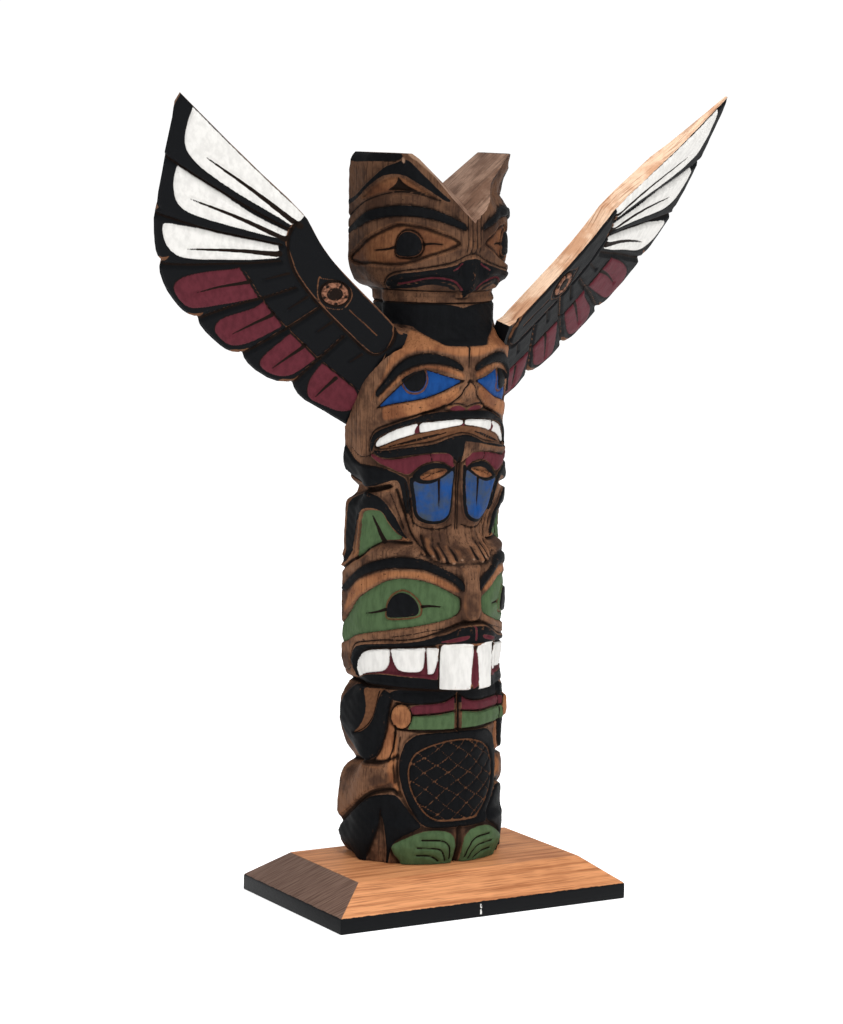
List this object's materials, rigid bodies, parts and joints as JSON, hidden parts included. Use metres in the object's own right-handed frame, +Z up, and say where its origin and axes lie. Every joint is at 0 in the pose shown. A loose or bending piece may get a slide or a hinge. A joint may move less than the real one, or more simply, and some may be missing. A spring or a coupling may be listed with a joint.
{
  "type": "totem pole model",
  "caption": "Souvenir-size carved and painted wooden totem pole of stacked animal figures with a pair of spread feathered wings, standing upright on a bevelled wooden plinth",
  "frame": {"origin": "middle of the plinth's underside, where the model stands", "axes": "+Z up, the figures face -Y, +X is the wing on the right of someone who looks at the front"},
  "size_m": [0.2875, 0.0932, 0.3687],
  "materials": {
    "plinth_wood": "oiled orange-brown wood with a black painted edge",
    "carved_wood": "brown stained carving with black, green, white, blue and dark red paint",
    "wing_wood": "black painted board with white and dark red feathers"
  },
  "bodies": {
    "root": {"plinth": "plinth_wood", "pole": "carved_wood", "wing_left": "wing_wood", "wing_right": "wing_wood"}
  },
  "joints": []
}
